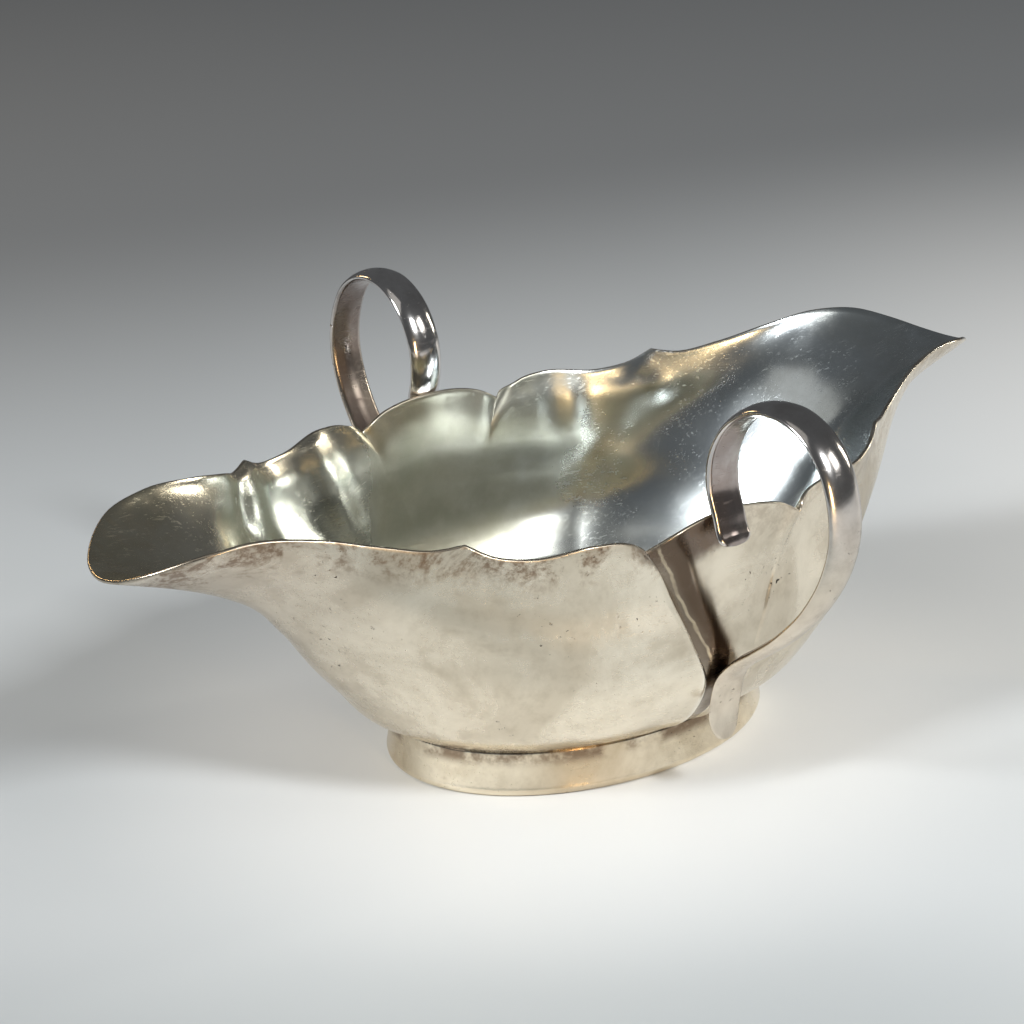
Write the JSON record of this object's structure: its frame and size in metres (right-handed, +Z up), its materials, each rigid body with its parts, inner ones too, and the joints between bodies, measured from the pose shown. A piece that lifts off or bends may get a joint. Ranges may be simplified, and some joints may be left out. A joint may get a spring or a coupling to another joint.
{
  "type": "sauce boat",
  "caption": "Oval sauce boat of thin silver with a pouring lip at each end, a notched rim, a strap handle on each long side and a low ring foot.",
  "frame": {"origin": "on the table, under the middle of the foot", "axes": "+X along the boat from one lip to the other, +Y across it from handle to handle, +Z up"},
  "size_m": [0.1876, 0.143, 0.0741],
  "materials": {
    "bowl_silver": "worn satin silver with brown and grey tarnish, fine scratches and small pits",
    "foot_silver": "worn satin silver, warmer and rubbed, dark in the joint above it",
    "handle_silver": "polished silver with grey tarnish and small dents"
  },
  "bodies": {
    "root": {"bowl": "bowl_silver", "foot_ring": "foot_silver", "near_handle": "handle_silver", "far_handle": "handle_silver"}
  },
  "joints": []
}
